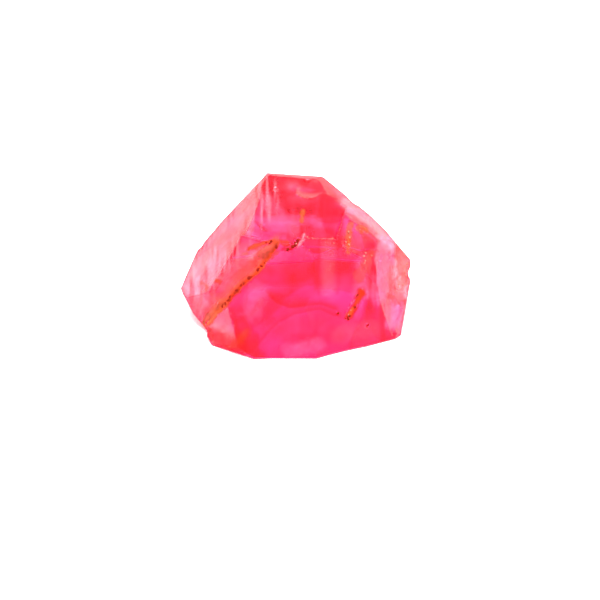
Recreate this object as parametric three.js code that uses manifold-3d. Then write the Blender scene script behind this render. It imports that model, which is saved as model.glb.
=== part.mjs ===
// A raw pink spinel crystal: part of an octahedron that lies on one flat fracture.
// Units are millimetres. The stone is cut out of a convex block in the frame of its main face:
// x runs to the right along the face, y up it and z out of it, from the front foot of the stone.
// One group then leans that frame back so that +Z is up, and sets the origin under the middle.
import * as THREE from "three";
import { ConvexGeometry } from "three/addons/geometries/ConvexGeometry.js";
import { mergeVertices } from "three/addons/utils/BufferGeometryUtils.js";
import Module from "manifold-3d";

const wasm = await Module();
wasm.setup();

// Driving dimensions
const LEAN = THREE.MathUtils.degToRad(35); // how far the main face leans back from upright
const BLOCK = 24; // side of the block that stands for a half space, larger than the stone
const FINEST = 0.003; // shortest edge that is kept
const BOWL = {
  lip: 1.25, // how far the curve of a dish runs on, as a share of its reach
  room: 2, // how far the lump that strikes it reaches out of the face
  ripple: 0.006, // height of the waves round its middle
  rings: 5,
  sides: 36,
};
const CRACK = { halfWidth: 0.05, depth: 0.1, step: 0.3 };
const WEAR = { step: 0.34, size: [0.2, 0.8], bite: [0.015, 0.045] };
const CRUMBLE = {
  count: 26,
  x: [3.25, 3.95],
  y: [2.35, 3.65],
  size: [0.14, 0.4],
  bite: [0.03, 0.09],
};
const TRIGON = { count: 7, radius: [0.085, 0.17], depth: 0.045, x: [-0.5, 0.6], y: [-0.45, 0.5] };

// The widest line round the stone as the main face is looked at, clockwise from the top left.
const RIM = [
  [-1.01, 6.46, -1.65],
  [0.95, 6.33, -1.75],
  [1.27, 6.03, -1.75],
  [2.56, 5.03, -1.85],
  [3.1, 4.49, -1.85],
  [3.5, 4.0, -1.9],
  [4.0, 3.44, -2.1],
  [3.98, 2.65, -1.9],
  [3.8, 2.12, -1.75],
  [3.67, 1.08, -1.4],
  [-3.56, 1.54, -1.5],
  [-3.94, 2.24, -1.65],
  [-4.02, 2.44, -1.9],
  [-3.66, 3.33, -2.2],
  [-3.44, 3.82, -2.25],
  [-2.97, 4.4, -2.15],
  [-2.47, 4.92, -2.0],
  [-1.98, 5.4, -1.8],
  [-1.23, 6.2, -1.6],
];

// Where the front of the stone meets the table, as x and y in the frame of the main face.
const FOOT = [
  [3.62, 0.77],
  [3.27, 0.53],
  [2.65, 0.44],
  [1.7, 0.2],
  [0.4, -0.1],
  [-1.36, 0],
  [-2.2, 0.29],
  [-2.67, 0.36],
  [-2.88, 0.46],
];

// The far side, as x, distance back from the front foot, and height above the table.
const BACK = [
  [-1.7, 5.33, 3.1],
  [-1.5, 5.55, 1.3],
  [0.5, 5.75, 1.35],
  [1.9, 5.66, 1.6],
  [-3.3, 4.3, 1.3],
  [3.4, 4.5, 1.2],
  [-3.05, 2.5, 0],
  [-1.9, 5.44, 0],
  [0.4, 5.73, 0],
  [1.9, 5.6, 0],
  [3.5, 2.9, 0],
];

// Points well out in front of the stone, so that only the faces below shape its front.
const FRONT = [
  [-2.3, 0.7, 0.6],
  [-2.4, 3.6, 0.2],
  [-0.8, 5.6, 0.2],
  [0.8, 5.4, -0.2],
  [2.4, 4.2, -0.4],
  [2.6, 0.9, 0.1],
  [0.2, 0.5, 0.8],
];

// The faces of the front. Each goes through a point and rises by slope for each millimetre of
// x and of y. A face may be bounded by lines: it lies to the left of each, from end to end.
const FACES = {
  main: { at: [-1.36, 0, 0], slope: [0.02, -0.12] },
  bend: { at: [0.3, 0.09, 0.022], slope: [-0.19, -0.12] },
  strip: { at: [0.77, 0.09, -0.067], slope: [-0.29, -0.12] },
  mainRight: { at: [1.43, 0.09, -0.258], slope: [-0.33, -0.12] },
  upper: { at: [-0.66, 3.97, -0.441], slope: [-0.06, -0.34] },
  upperRight: { at: [0.02, 4.9, -0.798], slope: [-0.22, -0.37] },
  crest: { at: [-0.4, 5.6, -1.011], slope: [-0.05, -0.65] },
  dark: {
    at: [0.5, 4.4, -0.719],
    slope: [-0.42, -0.29],
    within: [
      [0.4, 4.16, 1.39, 4.14],
      [1.39, 4.14, 1.72, 5.25],
    ],
  },
  stained: { at: [1.7, 4.1, -0.86], slope: [-0.35, -0.3] },
  shoulder: { at: [1.67, 5.11, -1.27], slope: [-0.802, -0.898] },
  right: { at: [2.68, 3.44, -1.07], slope: [-0.728, -0.227] },
  leftUpper: { at: [-1.77, 4.24, -0.466], slope: [1.288, -0.814] },
  aboveCrack: {
    at: [-0.66, 3.97, -0.441],
    slope: [0.2, -0.256],
    within: [
      [-0.66, 3.97, -1.77, 4.24],
      [-3.06, 1.32, -0.66, 3.97],
    ],
  },
  leftLower: {
    at: [-3.0, 2.2, -0.55],
    slope: [1.1, 0.5],
    within: [[-3.06, 1.32, -0.66, 3.97]],
  },
  belowCrack: {
    at: [-2.3, 1.88, -0.273],
    slope: [0.65, -0.007],
    within: [[-0.66, 3.97, -3.06, 1.32]],
  },
  heel: {
    at: [-1.36, 0, 0],
    slope: [0.8, 1.1],
    within: [[-0.66, 3.97, -3.06, 1.32]],
  },
};

// Shallow dishes struck out of the front: face, centre, half widths along and across, depth,
// turn and number of waves.
const DISHES = [
  ["main", [0.12, 3.02], [1.5, 1.24], 0.09, 0, 0],
  ["main", [0.4, -0.5], [2.3, 2.28], 0.1, 0, 2],
  ["strip", [1.75, 0.35], [1.35, 1.15], 0.05, 20, 0],
  ["crest", [0.62, 5.86], [0.64, 0.48], 0.17, 15, 1],
  ["leftUpper", [-2.6, 3.9], [2.7, 1.05], 0.12, 55, 0],
  ["right", [3.25, 2.5], [1.8, 0.65], 0.08, 80, 0],
  ["stained", [2.35, 4.0], [1.4, 0.75], 0.09, -40, 0],
  ["main", [-1.9, 2.05], [0.95, 0.7], 0.06, 45, 1],
];

// Bites out of the rim, which give the outline its notches: centre and radius.
const NOTCHES = [
  [-3.52, 0.98, -0.95, 0.5],
  [-1.78, -0.12, -0.05, 0.29],
  [-2.45, 0.09, -0.4, 0.23],
  [4.18, 2.98, -1.95, 0.29],
  [2.4, 6.02, -1.7, 0.76],
  [0.25, 6.97, -1.65, 0.6],
  [-3.45, 3.98, -2.1, 0.22],
  [3.67, 0.43, -0.95, 0.24],
];

// The crack across the front, from the lower left up to its end under the upper faces.
const CRACK_LINE = [
  [-3.0, 1.33],
  [-2.25, 2.15],
  [-1.23, 3.16],
  [-0.65, 3.95],
];

// Pits: centre on the front, half length, half width, depth and turn of the long way.
const PITS = [
  [1.93, 1.72, 0.42, 0.12, 0.09, 60],
  [2.17, 2.2, 0.28, 0.08, 0.07, 66],
  [-0.22, 3.84, 0.13, 0.08, 0.13, 20],
  [0.02, 4.02, 0.17, 0.07, 0.14, 50],
  [0.16, 4.13, 0.12, 0.09, 0.08, 30],
  [-1.17, 4.54, 0.2, 0.04, 0.04, -42],
  [-0.7, 5.87, 0.07, 0.07, 0.04, 0],
  [-2.27, 4.48, 0.12, 0.05, 0.04, 75],
  [1.43, 1.58, 0.05, 0.04, 0.04, 0],
  [2.47, 1.16, 0.06, 0.06, 0.05, 0],
];

// Ridges of the front that are worn to a row of shallow chips: the two faces that meet there,
// and the range of y.
const RIDGES = [
  ["leftUpper", "crest", 5.6, 6.2],
  ["leftUpper", "upper", 4.3, 5.5],
  ["leftUpper", "aboveCrack", 2.7, 3.9],
  ["leftLower", "aboveCrack", 2.0, 2.5],
  ["belowCrack", "main", 0.5, 1.8],
  ["heel", "main", 0.1, 0.5],
  ["right", "mainRight", 0.9, 3.5],
  ["shoulder", "stained", 4.1, 5.0],
  ["shoulder", "dark", 5.3, 5.9],
];

// Dishes of the far side: centre and way out as x, back and up, then as for the front.
const BACK_DISHES = [
  [[0.5, 5.62, 2.2], [0.01, 0.968, 0.25], [2.4, 1.5], 0.13, 8, 0],
  [[-2.35, 4.95, 2.3], [-0.66, 0.68, 0.3], [2.2, 1.15], 0.12, 50, 0],
  [[2.94, 4.26, 0.4], [0.683, 0.465, -0.563], [1.6, 0.8], 0.12, -20, 1],
  [[-3.03, 3.85, 0.5], [-0.65, 0.4, -0.63], [1.5, 0.7], 0.1, 10, 0],
  [[2.5, 5.02, 1.95], [0.64, 0.69, 0.35], [2.0, 1.05], 0.1, -55, 0],
];

// The face of the far side that has three-cornered pits, as a point and the way out.
const PITTED = [[-0.9, 5.6, 1.95], [-0.122, 0.987, 0.107]];

const toStanding = new THREE.Matrix4().makeRotationX(Math.PI / 2 - LEAN);
const toFace = toStanding.clone().invert();
const OUT = new THREE.Vector3(0, 0, 1);

// A number between low and high, from a row of numbers that is the same each time.
const LAST = 2147483647;
let state = 7;
function spread(low, high) {
  state = (state * 48271) % LAST;
  return low + ((high - low) * state) / LAST;
}

// A closed three.js geometry, placed by a matrix, as a solid for joining and cutting.
function solid(geometry, matrix = new THREE.Matrix4()) {
  const placed = geometry.clone().applyMatrix4(matrix);
  for (const name of ["normal", "uv"]) placed.deleteAttribute(name);
  const merged = mergeVertices(placed, 1e-4);
  const corners = [];
  for (let i = 0; i < merged.index.count; i += 3) {
    const [a, b, c] = merged.index.array.slice(i, i + 3);
    if (a !== b && b !== c && c !== a) corners.push(a, b, c);
  }
  return new wasm.Manifold(
    new wasm.Mesh({
      numProp: 3,
      vertProperties: merged.attributes.position.array,
      triVerts: new Uint32Array(corners),
    }),
  );
}

// A matrix that sets something down at a point, turned about its own axis, facing along normal.
function facing(point, normal, turn = 0, size = new THREE.Vector3(1, 1, 1)) {
  const face = new THREE.Quaternion().setFromUnitVectors(OUT, normal.clone().normalize());
  const spin = new THREE.Quaternion().setFromAxisAngle(OUT, THREE.MathUtils.degToRad(turn));
  return new THREE.Matrix4().compose(point, face.multiply(spin), size);
}

// All that lies beyond the plane through a point, on the side that the normal points to.
function beyond(point, normal) {
  const half = new THREE.BoxGeometry(BLOCK, BLOCK, BLOCK).translate(0, 0, BLOCK / 2);
  return solid(half, facing(point, normal));
}

// The direction that a face looks in
function normalOf({ slope }) {
  return new THREE.Vector3(-slope[0], -slope[1], 1).normalize();
}

// How far out a face lies at a place on the front
function heightOf({ at, slope }, x, y) {
  return at[2] + slope[0] * (x - at[0]) + slope[1] * (y - at[1]);
}

// Whether a place lies inside the lines that bound a face
function bounds({ within = [] }, x, y) {
  return within.every(([x0, y0, x1, y1]) => (x1 - x0) * (y - y0) > (y1 - y0) * (x - x0));
}

// The face that shows at a place on the front: the one that cuts deepest there.
function faceAt(x, y) {
  const open = Object.values(FACES).filter((face) => bounds(face, x, y));
  return open.reduce((a, b) => (heightOf(a, x, y) < heightOf(b, x, y) ? a : b));
}

// The point of the front at a place, and the way out of the stone there
function frontAt(x, y) {
  const face = faceAt(x, y);
  return { point: new THREE.Vector3(x, y, heightOf(face, x, y)), normal: normalOf(face) };
}

// What a face takes off the block: all in front of its plane, up to the lines that bound it.
function taken(face) {
  let off = beyond(new THREE.Vector3(...face.at), normalOf(face));
  for (const [x0, y0, x1, y1] of face.within ?? []) {
    const wall = beyond(new THREE.Vector3(x0, y0, 0), new THREE.Vector3(y0 - y1, x1 - x0, 0));
    off = off.intersect(wall);
  }
  return off;
}

// The convex block that the faces are cut into
function block() {
  const foot = FOOT.map(([x, y]) => new THREE.Vector3(x, y, -y / Math.tan(LEAN)));
  const back = BACK.map((p) => new THREE.Vector3(...p).applyMatrix4(toFace));
  const rest = [...RIM, ...FRONT].map((p) => new THREE.Vector3(...p));
  return solid(new ConvexGeometry([...rest, ...foot, ...back]));
}

// The lump that a blow strikes out: a flat bowl, with low waves round its middle if any.
function bowl(reach, depth, waves, place) {
  const rings = BOWL.rings * Math.max(1, waves);
  const profile = [];
  for (let i = 0; i <= rings; i += 1) {
    const r = (BOWL.lip * i) / rings;
    const wave = BOWL.ripple * Math.sin(r * r * waves * 2 * Math.PI);
    profile.push(new THREE.Vector2(r, depth * (r * r - 1) + wave));
  }
  profile.push(new THREE.Vector2(BOWL.lip, BOWL.room), new THREE.Vector2(0, BOWL.room));
  const round = new THREE.LatheGeometry(profile, BOWL.sides).rotateX(Math.PI / 2);
  return solid(round.scale(...reach, 1), place);
}

function dish([name, at, reach, depth, turn, waves]) {
  const face = FACES[name];
  const centre = new THREE.Vector3(...at, heightOf(face, ...at));
  return bowl(reach, depth, waves, facing(centre, normalOf(face), turn));
}

// A pit: the lower half of a small lump sunk into the front.
function pit([x, y, length, width, depth, turn]) {
  const { point, normal } = frontAt(x, y);
  const lump = new THREE.IcosahedronGeometry(1, 1).scale(length, width, depth);
  return solid(lump, facing(point, normal, turn));
}

// A lump that bites a little way into the front at a point
function chip({ point, normal }, { size, bite }) {
  const radius = spread(...size);
  const centre = point.clone().addScaledVector(normal, radius - spread(...bite));
  const lump = new THREE.IcosahedronGeometry(radius, 2).scale(spread(1, 1.5), 1, 1);
  return solid(lump, facing(centre, normal, spread(0, 180)));
}

// Places along a line of corners, one step apart
function along(line, step) {
  const places = [];
  for (let i = 1; i < line.length; i += 1) {
    const from = new THREE.Vector2(...line[i - 1]);
    const to = new THREE.Vector2(...line[i]);
    const parts = Math.max(1, Math.round(from.distanceTo(to) / step));
    for (let k = 0; k < parts; k += 1) places.push(from.clone().lerp(to, k / parts));
  }
  places.push(new THREE.Vector2(...line.at(-1)));
  return places;
}

// The corners of the crack at one place: two on the lips, raised clear, and one at the bottom.
function lips({ x, y }, across) {
  const { point } = frontAt(x, y);
  const normal = normalOf(FACES.main);
  const wide = CRACK.halfWidth * spread(0.7, 1.5);
  const deep = CRACK.depth * spread(0.8, 1.2);
  return [
    point.clone().addScaledVector(across, 2 * wide).addScaledVector(normal, deep),
    point.clone().addScaledVector(across, -2 * wide).addScaledVector(normal, deep),
    point.clone().addScaledVector(normal, -deep),
  ];
}

// The crack: a row of short wedges, each of which runs on into the next
function crack() {
  const places = along(CRACK_LINE, CRACK.step);
  const start = new THREE.Vector2(...CRACK_LINE[0]);
  const run = new THREE.Vector2(...CRACK_LINE.at(-1)).sub(start).normalize();
  const across = new THREE.Vector3(-run.y, run.x, 0);
  const sections = places.map((place) => lips(place, across));
  return sections.slice(2).map((last, i) => {
    return solid(new ConvexGeometry([...sections[i], ...sections[i + 1], ...last]));
  });
}

// The point where two faces meet at a height y, and the way out halfway between them
function onRidge(first, second, y) {
  const gap = heightOf(second, 0, y) - heightOf(first, 0, y);
  const x = gap / (first.slope[0] - second.slope[0]);
  const normal = normalOf(first).add(normalOf(second)).normalize();
  return { point: new THREE.Vector3(x, y, heightOf(first, x, y)), normal };
}

// Shallow chips in a row along each worn ridge
function wear() {
  return RIDGES.flatMap(([first, second, low, high]) => {
    const count = Math.round((high - low) / WEAR.step) + 1;
    const places = Array.from({ length: count }, () => spread(low, high));
    return places.map((y) => chip(onRidge(FACES[first], FACES[second], y), WEAR));
  });
}

// The crumbled corner at the right
function crumble() {
  return Array.from({ length: CRUMBLE.count }, () =>
    chip(frontAt(spread(...CRUMBLE.x), spread(...CRUMBLE.y)), CRUMBLE),
  );
}

// A place or a way out of the far side, in the frame of the main face
function ofBack([x, back, up]) {
  return new THREE.Vector3(x, back, up).applyMatrix4(toFace);
}

// Three-cornered pits, all turned the same way, on one face of the far side
function trigons() {
  const [point, normal] = PITTED.map(ofBack);
  return Array.from({ length: TRIGON.count }, () => {
    const radius = 2 * spread(...TRIGON.radius);
    const tip = new THREE.ConeGeometry(radius, 2 * TRIGON.depth, 3).rotateX(-Math.PI / 2);
    tip.translate(spread(...TRIGON.x), spread(...TRIGON.y), 0);
    return solid(tip, facing(point, normal));
  });
}

function notch([x, y, z, radius]) {
  return solid(new THREE.IcosahedronGeometry(radius, 2).translate(x, y, z));
}

function backDish([centre, normal, reach, depth, turn, waves]) {
  return bowl(reach, depth, waves, facing(ofBack(centre), ofBack(normal), turn));
}

const cuts = [
  ...Object.values(FACES).map(taken),
  ...DISHES.map(dish),
  ...BACK_DISHES.map(backDish),
  ...NOTCHES.map(notch),
  ...crack(),
  ...PITS.map(pit),
  ...wear(),
  ...crumble(),
  ...trigons(),
];
let stone = block();
for (const cut of cuts) stone = stone.subtract(cut);
// The flat fracture that the stone lies on
const down = new THREE.Vector3(0, 0, -1).transformDirection(toFace);
stone = stone.subtract(beyond(new THREE.Vector3(0, 0, 0), down));
// Edges too short to see go, and so do loose splinters.
const bodies = stone.simplify(FINEST).decompose();
stone = bodies.reduce((a, b) => (a.volume() > b.volume() ? a : b));

function geometryOf(made) {
  const mesh = made.getMesh();
  return new THREE.BufferGeometry()
    .setAttribute("position", new THREE.BufferAttribute(mesh.vertProperties, 3))
    .setIndex(new THREE.BufferAttribute(mesh.triVerts, 1));
}

const spinel = new THREE.MeshStandardMaterial({ color: 0xf0446c, roughness: 0.2, metalness: 0 });
const crystal = new THREE.Mesh(geometryOf(stone), spinel);
crystal.name = "crystal";

const standing = new THREE.Group().add(crystal);
standing.applyMatrix4(toStanding);

const part = new THREE.Group().add(standing);
const box = new THREE.Box3().setFromObject(part, true);
const middle = box.getCenter(new THREE.Vector3());
standing.position.set(-middle.x, -middle.y, -box.min.z);

export default part;
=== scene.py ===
"""The looks of a raw pink spinel crystal: its clear body, what lies on it, and a white studio."""
import logging
import math
from dataclasses import dataclass, field
from enum import Enum

import bmesh
import bpy
import numpy as np
from mathutils import Matrix, Vector
from mathutils.bvhtree import BVHTree


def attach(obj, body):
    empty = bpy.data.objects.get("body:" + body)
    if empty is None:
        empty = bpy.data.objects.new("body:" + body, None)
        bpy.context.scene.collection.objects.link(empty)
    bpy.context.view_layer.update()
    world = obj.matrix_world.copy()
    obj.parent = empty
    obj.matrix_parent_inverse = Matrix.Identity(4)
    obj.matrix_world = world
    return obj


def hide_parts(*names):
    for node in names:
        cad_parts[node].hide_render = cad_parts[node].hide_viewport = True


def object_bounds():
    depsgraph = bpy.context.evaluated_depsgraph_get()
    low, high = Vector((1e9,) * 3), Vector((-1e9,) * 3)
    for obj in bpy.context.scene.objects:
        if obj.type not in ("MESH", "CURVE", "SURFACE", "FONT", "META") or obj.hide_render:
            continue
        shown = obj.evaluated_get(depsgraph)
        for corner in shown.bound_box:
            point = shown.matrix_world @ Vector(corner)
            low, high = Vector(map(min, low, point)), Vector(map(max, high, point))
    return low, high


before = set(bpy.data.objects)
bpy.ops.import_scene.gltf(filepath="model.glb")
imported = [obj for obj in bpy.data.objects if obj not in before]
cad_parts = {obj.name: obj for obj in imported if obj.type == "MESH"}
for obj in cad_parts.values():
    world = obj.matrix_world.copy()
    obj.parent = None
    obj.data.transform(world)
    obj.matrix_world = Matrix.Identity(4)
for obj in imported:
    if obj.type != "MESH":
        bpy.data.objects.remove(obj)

MM = 0.001  # one millimetre in metres
TINY = 1e-12  # the least length that something is divided by
FAINT = 1e-6  # the least cover that a colour is divided by
CAD_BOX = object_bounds()
LOG = logging.getLogger("spinel")

Rgb = tuple[float, float, float]
Spot = tuple[float, float]  # x and y on the main face, in millimetres
Span = tuple[float, float]  # two numbers that belong together
Triple = tuple[float, float, float]  # one number for each of x, y and w
Array = np.ndarray
Mesh = bpy.types.Mesh
Material = bpy.types.Material
Nodes = bpy.types.Nodes
Links = bpy.types.NodeLinks
Socket = bpy.types.NodeSocket


class Slot(Enum):
    """The finishes that the stone has."""

    STONE = "spinel"
    IRON = "iron_oxide"


class Drawn(Enum):
    """What a random draw gives each grain."""

    ONE = "FLOAT"
    THREE = "FLOAT_VECTOR"


@dataclass(frozen=True)
class MainFace:
    """The frame of the main face, in millimetres: x to the right, y up the face and w out of it."""

    lean: float = math.radians(35.0)
    foot: Vector = field(default_factory=lambda: Vector((0.0092, -2.8955, 0.0)))

    def axes(self) -> Matrix:
        """The directions of x, y and w in the row frame, as the columns of a matrix."""
        c, s = math.cos(self.lean), math.sin(self.lean)
        return Matrix(((1, 0, 0), (0, s, -c), (0, c, s)))

    def from_row(self, places: Array) -> Array:
        """Places in the row frame, in millimetres, seen in the frame of the face."""
        return (places - np.array(self.foot)) @ np.array(self.axes())

    def height(self, places: Array) -> Array:
        """How far up places or directions in the frame of the face lie in the row frame."""
        return places[:, 1] * math.cos(self.lean) + places[:, 2] * math.sin(self.lean)

    def matrix(self) -> Matrix:
        """What takes a mesh from millimetres on the face to metres in the row frame."""
        return Matrix.Scale(MM, 4) @ Matrix.Translation(self.foot) @ self.axes().to_4x4()


FACE = MainFace()


class Noise:
    """Smooth noise from a lattice of numbers that is the same each time."""

    def __init__(self, seed: int, size: int = 32) -> None:
        """Draws the lattice.

        Args:
            seed: Which noise to draw.
            size: Cells before the noise repeats.
        """
        self.size = size
        self.lattice = np.random.default_rng(seed).uniform(-1, 1, (size, size, size))

    def at(self, places: Array) -> Array:
        """Reads the noise, which has one lump per unit.

        Args:
            places: The places to read it at.

        Returns:
            A number from -1 to 1 for each place.
        """
        cell = np.floor(places).astype(int)
        t = places - cell
        t = t * t * (3 - 2 * t)
        total = np.zeros(len(places))
        for corner in np.ndindex(2, 2, 2):
            i, j, k = ((cell + corner) % self.size).T
            share = np.prod(np.where(np.array(corner) == 1, t, 1 - t), axis=1)
            total += share * self.lattice[i, j, k]
        return total

    def rough(self, places: Array, octaves: int) -> Array:
        """Noise with finer and lower noise on top, each octave at half the size and height."""
        layers = (self.at(places * 2**k + 7.3 * k) / 2**k for k in range(octaves))
        return sum(layers, np.zeros(len(places)))


class Relief:
    """A mesh of three-cornered faces whose corners are moved with numpy."""

    def __init__(self, mesh: Mesh) -> None:
        """Reads the corners and faces of a mesh.

        Args:
            mesh: The mesh, in millimetres.
        """
        corners = np.empty(len(mesh.vertices) * 3, np.float32)
        mesh.vertices.foreach_get("co", corners)
        self.corners = corners.reshape(-1, 3).astype(np.float64)
        mesh.calc_loop_triangles()
        triangles = np.empty(len(mesh.loop_triangles) * 3, np.int32)
        mesh.loop_triangles.foreach_get("vertices", triangles)
        self.faces = triangles.reshape(-1, 3).astype(np.int64)
        self.pairs = self._neighbours()

    def _neighbours(self) -> Array:
        """Finds the faces that share an edge.

        Returns:
            The numbers of two faces in each row.
        """
        f = self.faces
        edges = np.sort(np.concatenate([f[:, [0, 1]], f[:, [1, 2]], f[:, [2, 0]]]), axis=1)
        owner = np.tile(np.arange(len(f)), 3)
        key = edges[:, 0] * (len(self.corners) + 1) + edges[:, 1]
        order = np.argsort(key, kind="stable")
        same = key[order][1:] == key[order][:-1]
        return np.stack([owner[order][:-1][same], owner[order][1:][same]], axis=1)

    def _gathered(self, values: Array) -> Array:
        """What each corner gets in all, where each face gives a vector to each of its corners."""
        flat, rows, count = self.faces.ravel(), values.reshape(-1, 3), len(self.corners)
        return np.stack([np.bincount(flat, rows[:, k], count) for k in range(3)], axis=1)

    def face_normals(self) -> tuple[Array, Array]:
        """Measures the faces.

        Returns:
            The unit normal and the area of each.
        """
        a, b, c = (self.corners[self.faces[:, i]] for i in range(3))
        cross = np.cross(b - a, c - a)
        size = np.maximum(np.linalg.norm(cross, axis=1), TINY)
        return cross / size[:, None], size / 2

    def _around(self) -> tuple[Array, Array]:
        """Looks at the faces round each corner.

        Returns:
            Their normals, added up by area, and their areas, added up.
        """
        unit, area = self.face_normals()
        total = self._gathered(np.repeat((unit * area[:, None])[:, None], 3, 1))
        return total, np.bincount(self.faces.ravel(), np.repeat(area, 3), len(self.corners))

    def normals(self) -> Array:
        """The way out at each corner."""
        total = self._around()[0]
        return total / np.maximum(np.linalg.norm(total, axis=1), TINY)[:, None]

    def ridges(self, bend: Span) -> Array:
        """Finds the ridges and grooves, with the corners next to them.

        Args:
            bend: How much the normals cancel out where a ridge starts and where it is full.

        Returns:
            For each corner how near it is to a ridge, from 0 on the flats to 1.
        """
        total, whole = self._around()
        sharp = soft_step(*bend, 1 - np.linalg.norm(total, axis=1) / whole)
        wide = np.zeros(len(self.corners))
        np.maximum.at(wide, self.faces.ravel(), np.repeat(sharp[self.faces].max(axis=1), 3))
        return wide

    def even_out(self, turn: float, rounds: int, moves: int) -> None:
        """Rounds off the small turns between faces and keeps the ridges sharp.

        Args:
            turn: The turn between two faces, in radians, that is about half evened out in a round.
            rounds: How often the normals are averaged.
            moves: How often the corners are moved to suit the new normals.
        """
        unit, area = self.face_normals()
        one, other = self.pairs.T
        for _ in range(rounds):
            gap = np.sum((unit[one] - unit[other]) ** 2, axis=1)
            share = np.exp(-gap / (2 * turn * turn))
            total = unit * area[:, None]
            for a, b in ((one, other), (other, one)):
                pull = unit[b] * (area[b] * share)[:, None]
                for k in range(3):
                    total[:, k] += np.bincount(a, pull[:, k], len(unit))
            unit = total / np.linalg.norm(total, axis=1)[:, None]
        count = np.bincount(self.faces.ravel(), minlength=len(self.corners))[:, None]
        for _ in range(moves):
            middle = self.corners[self.faces].mean(axis=1)
            step = middle[:, None] - self.corners[self.faces]
            pull = np.sum(step * unit[:, None], axis=2)[..., None] * unit[:, None]
            self.corners += self._gathered(pull) / count

    def write(self, name: str) -> Mesh:
        """Makes a new mesh of this shape in metres.

        Args:
            name: The new mesh's name.

        Returns:
            The mesh, shaded smooth.
        """
        mesh = bpy.data.meshes.new(name)
        mesh.from_pydata((self.corners * MM).tolist(), [], self.faces.tolist())
        mesh.shade_smooth()
        mesh.update()
        return mesh


def placed(name: str, data: bpy.types.ID) -> bpy.types.Object:
    """Adds an object at the origin.

    Args:
        name: The object's name.
        data: The mesh, light or camera that it shows.

    Returns:
        The object.
    """
    thing = bpy.data.objects.new(name, data)
    bpy.context.scene.collection.objects.link(thing)
    return thing


def set_down(name: str, mesh: Mesh, finish: Material) -> None:
    """Sets down a finished piece of the stone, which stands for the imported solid.

    Args:
        name: The piece's name.
        mesh: Its mesh, in metres in the row frame.
        finish: Its material.
    """
    piece = placed(name, mesh)
    mesh.materials.clear()
    mesh.materials.append(finish)
    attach(piece, "root")
    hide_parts("crystal")
    LOG.info("%s: %d corners, %d faces", name, len(mesh.vertices), len(mesh.polygons))


def soft_step(low: float, high: float, values: Array) -> Array:
    """Rises from 0 at low to 1 at high without corners."""
    t = np.clip((values - low) / (high - low), 0, 1)
    return t * t * (3 - 2 * t)


def left_flank(way: Array) -> Array:
    """1 where the way out points left, as on the tall flank, and 0 elsewhere."""
    return soft_step(0.5, 0.7, -way[:, 0])


def set_floats(mesh: Mesh, name: str, values: Array) -> None:
    """Gives each corner of a mesh a number under a name."""
    mesh.attributes.new(name, "FLOAT", "POINT").data.foreach_set("value", values.astype(np.float32))


def set_colours(mesh: Mesh, name: str, values: Array) -> None:
    """Gives each corner of a mesh a colour under a name."""
    rows = np.concatenate([values, np.ones((len(values), 1))], axis=1).astype(np.float32)
    mesh.attributes.new(name, "FLOAT_COLOR", "POINT").data.foreach_set("color", rows.ravel())


def spread_out(corners: Array, step: float) -> Array:
    """Even places along a line of corners.

    Args:
        corners: The corners of the line.
        step: About how far apart the places are.

    Returns:
        The places.
    """
    legs = np.linalg.norm(np.diff(corners, axis=0), axis=1)
    run = np.concatenate([[0], np.cumsum(legs)])
    at = np.linspace(0, run[-1], max(2, round(run[-1] / step) + 1))
    return np.stack([np.interp(at, run, corners[:, k]) for k in range(2)], axis=1)


def side_of(places: Array, spine: list[Spot]) -> tuple[Array, Array]:
    """How far each place lies from a line, and on which side of it.

    Args:
        places: The places, by x and y.
        spine: The corners of the line.

    Returns:
        The distance, and whether the place lies to the left of the line.
    """
    best = np.full(len(places), np.inf)
    left = np.zeros(len(places), bool)
    for start, end in zip(spine, spine[1:]):
        run = np.subtract(end, start)
        off = places[:, :2] - np.array(start)
        share = np.clip(off @ run / (run @ run), 0, 1)
        far = np.hypot(*(off - share[:, None] * run).T)
        nearer = far < best
        left = np.where(nearer, run[0] * off[:, 1] > run[1] * off[:, 0], left)
        best = np.where(nearer, far, best)
    return best, left


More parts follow.
